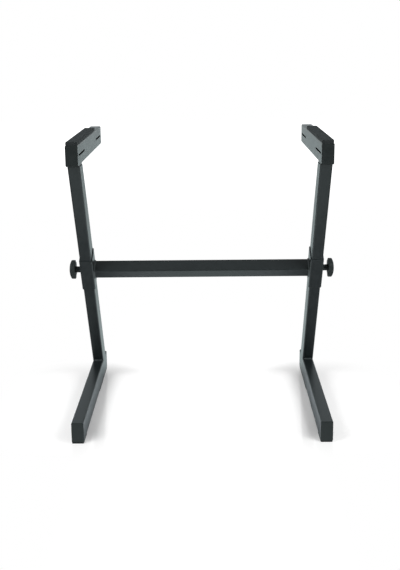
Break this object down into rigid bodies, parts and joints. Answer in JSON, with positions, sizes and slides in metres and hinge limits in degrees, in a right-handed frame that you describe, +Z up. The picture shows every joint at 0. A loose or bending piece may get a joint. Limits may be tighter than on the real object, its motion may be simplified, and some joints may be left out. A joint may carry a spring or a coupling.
{
  "type": "keyboard stand",
  "caption": "Z-style keyboard stand with leaning Z frames of rectangular tube, joined by a crossbar that slides on the diagonals and is locked by hand knobs.",
  "frame": {"origin": "bottom centre of the bounding box, on the floor midway between the frames", "axes": "+X to the player's right, +Y away from the player, +Z up"},
  "size_m": [0.6988, 0.6118, 0.7164],
  "materials": {
    "powder_coat": "fine satin powder coat",
    "cap_plastic": "fine moulded grain",
    "pad_rubber": "matte",
    "knob_plastic": "satin moulded",
    "black_steel": "black oxide",
    "zinc_steel": "bright zinc",
    "nylon": "turned"
  },
  "bodies": {
    "left_frame": {"left_foot_tube": "powder_coat", "left_foot_front_cap": "cap_plastic", "left_foot_rear_cap": "cap_plastic", "left_foot_front_pad": "pad_rubber", "left_foot_rear_pad": "pad_rubber", "left_diagonal_tube": "powder_coat", "left_foot_welds": "powder_coat", "left_arm_bracket": "black_steel", "left_arm_screws": "black_steel", "left_arm_nuts": "zinc_steel", "left_arm_tube": "powder_coat", "left_arm_front_cap": "cap_plastic", "left_arm_rear_cap": "cap_plastic", "left_arm_pad": "pad_rubber"},
    "left_clamp": {"left_clamp_tip": "nylon"},
    "left_knob": {"left_knob_grip": "knob_plastic", "left_knob_stud": "zinc_steel"},
    "right_frame": {"right_foot_tube": "powder_coat", "right_foot_front_cap": "cap_plastic", "right_foot_rear_cap": "cap_plastic", "right_foot_front_pad": "pad_rubber", "right_foot_rear_pad": "pad_rubber", "right_diagonal_tube": "powder_coat", "right_foot_welds": "powder_coat", "right_arm_bracket": "black_steel", "right_arm_screws": "black_steel", "right_arm_nuts": "zinc_steel", "right_arm_tube": "powder_coat", "right_arm_front_cap": "cap_plastic", "right_arm_rear_cap": "cap_plastic", "right_arm_pad": "pad_rubber"},
    "right_clamp": {"right_clamp_tip": "nylon"},
    "right_knob": {"right_knob_grip": "knob_plastic", "right_knob_stud": "zinc_steel"},
    "crossbar": {"crossbar_tube": "powder_coat", "left_sleeve": "powder_coat", "left_clamp_boss": "powder_coat", "left_crossbar_weld": "powder_coat", "right_sleeve": "powder_coat", "right_clamp_boss": "powder_coat", "right_crossbar_weld": "powder_coat"}
  },
  "joints": [
    {"name": "crossbar_height", "type": "slide", "parent": "left_frame", "child": "crossbar", "axis": [0, -0.5, 0.866], "range_m": [-0.275, 0.2]},
    {"name": "right_frame_height", "type": "slide", "parent": "crossbar", "child": "right_frame", "axis": [0, -0.5, 0.866], "range_m": [-0.2, 0.275]},
    {"name": "left_knob_travel", "type": "slide", "parent": "crossbar", "child": "left_clamp", "axis": [-1, 0, 0], "range_m": [0, 0.00219]},
    {"name": "left_knob_turn", "type": "hinge", "parent": "left_clamp", "child": "left_knob", "pos_m": [-0.3264, 0.01953, 0.35685], "axis": [-1, 0, 0], "range_deg": [0, 630]},
    {"name": "right_knob_travel", "type": "slide", "parent": "crossbar", "child": "right_clamp", "axis": [1, 0, 0], "range_m": [0, 0.00219]},
    {"name": "right_knob_turn", "type": "hinge", "parent": "right_clamp", "child": "right_knob", "pos_m": [0.3264, 0.01953, 0.35685], "axis": [1, 0, 0], "range_deg": [0, 630]}
  ],
  "couplings": [
    {"joint": "right_frame_height", "follows": "crossbar_height", "ratio": -1},
    {"joint": "left_knob_turn", "follows": "left_knob_travel", "rad_per_m": 5026.5},
    {"joint": "right_knob_turn", "follows": "right_knob_travel", "rad_per_m": 5026.5}
  ]
}
